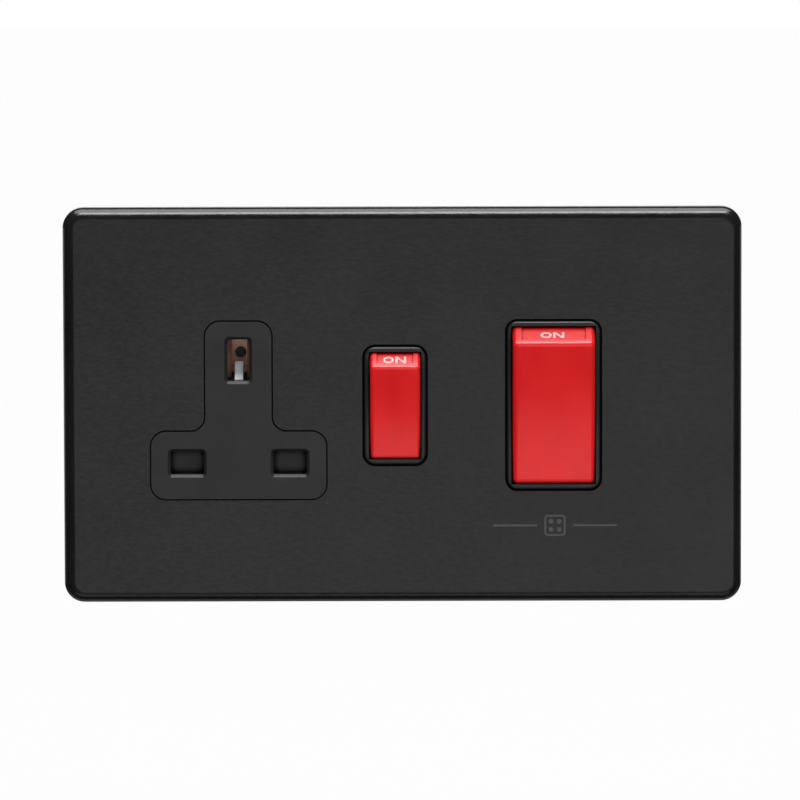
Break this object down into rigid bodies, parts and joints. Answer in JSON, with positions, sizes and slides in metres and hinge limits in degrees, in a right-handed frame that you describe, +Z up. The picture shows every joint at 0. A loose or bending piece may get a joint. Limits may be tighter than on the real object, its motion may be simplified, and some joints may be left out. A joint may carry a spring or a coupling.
{
  "type": "cooker control unit",
  "caption": "Black screwless wall plate with a switched three-pin socket outlet on the left and a large red double-pole cooker switch on the right.",
  "frame": {"origin": "midway between the two fixing screws, on the wall plane at the plate's rear rim", "axes": "+X to the right as seen from the front, +Z up, +Y into the wall; the front faces -Y"},
  "size_m": [0.1466, 0.0364, 0.0856],
  "materials": {
    "black_steel": "matt textured powder coat",
    "black_plastic": "matt",
    "red_plastic": "gloss",
    "grey_plastic": "matt",
    "white_plastic": "satin",
    "brass": "satin",
    "copper": "satin",
    "zinc_steel": "satin",
    "silver": "satin"
  },
  "bodies": {
    "unit": {"cooker_base": "grey_plastic", "cooker_base_screws": "zinc_steel", "cooker_fixed_tips": "silver", "cooker_live_fixed_contact": "brass", "cooker_live_fulcrum": "brass", "cooker_neutral_fixed_contact": "brass", "cooker_neutral_fulcrum": "brass", "cover_plate": "black_steel", "earth_terminal": "brass", "earth_terminal_screw": "zinc_steel", "front_moulding": "black_plastic", "left_fixing_screw": "zinc_steel", "live_link": "brass", "live_load_terminal": "brass", "live_supply_terminal": "brass", "load_terminal_screws": "zinc_steel", "neutral_link": "brass", "neutral_load_terminal": "brass", "neutral_supply_terminal": "brass", "right_fixing_screw": "zinc_steel", "socket_base": "grey_plastic", "socket_base_screws": "zinc_steel", "socket_earth_contact": "copper", "socket_fixed_tip": "silver", "socket_live_contact": "brass", "socket_neutral_contact": "brass", "supply_terminal_screws": "zinc_steel"},
    "cooker_rocker": {"cooker_rocker": "red_plastic"},
    "cooker_live_plunger": {"cooker_live_plunger": "white_plastic"},
    "cooker_neutral_plunger": {"cooker_neutral_plunger": "white_plastic"},
    "cooker_live_arm": {"cooker_live_arm": "brass", "cooker_live_moving_tip": "silver"},
    "cooker_neutral_arm": {"cooker_neutral_arm": "brass", "cooker_neutral_moving_tip": "silver"},
    "socket_rocker": {"socket_rocker": "red_plastic"},
    "socket_plunger": {"socket_plunger": "white_plastic"},
    "socket_arm": {"socket_arm": "brass", "socket_moving_tip": "silver"},
    "shutter": {"shutter": "black_plastic", "shutter_cam": "white_plastic"}
  },
  "joints": [
    {"name": "cooker_rocker_hinge", "type": "hinge", "parent": "unit", "child": "cooker_rocker", "pos_m": [0.0326, 0.0013, 0], "axis": [1, 0, 0], "range_deg": [-18, 0]},
    {"name": "cooker_live_arm_hinge", "type": "hinge", "parent": "unit", "child": "cooker_live_arm", "pos_m": [0.0271, 0.0159, 0], "axis": [1, 0, 0], "range_deg": [0, 14]},
    {"name": "cooker_neutral_arm_hinge", "type": "hinge", "parent": "unit", "child": "cooker_neutral_arm", "pos_m": [0.0381, 0.0159, 0], "axis": [1, 0, 0], "range_deg": [0, 14]},
    {"name": "cooker_live_plunger_slide", "type": "slide", "parent": "cooker_rocker", "child": "cooker_live_plunger", "axis": [0, 0.9877, 0.1564], "range_m": [-0.001, 0], "stiffness_N_per_m": 600, "springref_m": 0.0005},
    {"name": "cooker_neutral_plunger_slide", "type": "slide", "parent": "cooker_rocker", "child": "cooker_neutral_plunger", "axis": [0, 0.9877, 0.1564], "range_m": [-0.001, 0], "stiffness_N_per_m": 600, "springref_m": 0.0005},
    {"name": "socket_rocker_hinge", "type": "hinge", "parent": "unit", "child": "socket_rocker", "pos_m": [-0.0016, 0.0008, 0], "axis": [1, 0, 0], "range_deg": [-20, 0]},
    {"name": "socket_arm_hinge", "type": "hinge", "parent": "unit", "child": "socket_arm", "pos_m": [-0.0016, 0.0122, 0], "axis": [1, 0, 0], "range_deg": [0, 15]},
    {"name": "socket_plunger_slide", "type": "slide", "parent": "socket_rocker", "child": "socket_plunger", "axis": [0, 0.9848, 0.1736], "range_m": [-0.001, 0], "stiffness_N_per_m": 600, "springref_m": 0.0005},
    {"name": "shutter_slide", "type": "slide", "parent": "unit", "child": "shutter", "axis": [0, 0, -1], "range_m": [0, 0.0058], "stiffness_N_per_m": 60, "springref_m": -0.004}
  ],
  "couplings": [
    {"joint": "cooker_live_arm_hinge", "follows": "cooker_rocker_hinge", "ratio": -0.77777},
    {"joint": "cooker_neutral_arm_hinge", "follows": "cooker_rocker_hinge", "ratio": -0.77777},
    {"joint": "socket_arm_hinge", "follows": "socket_rocker_hinge", "ratio": -0.75}
  ]
}
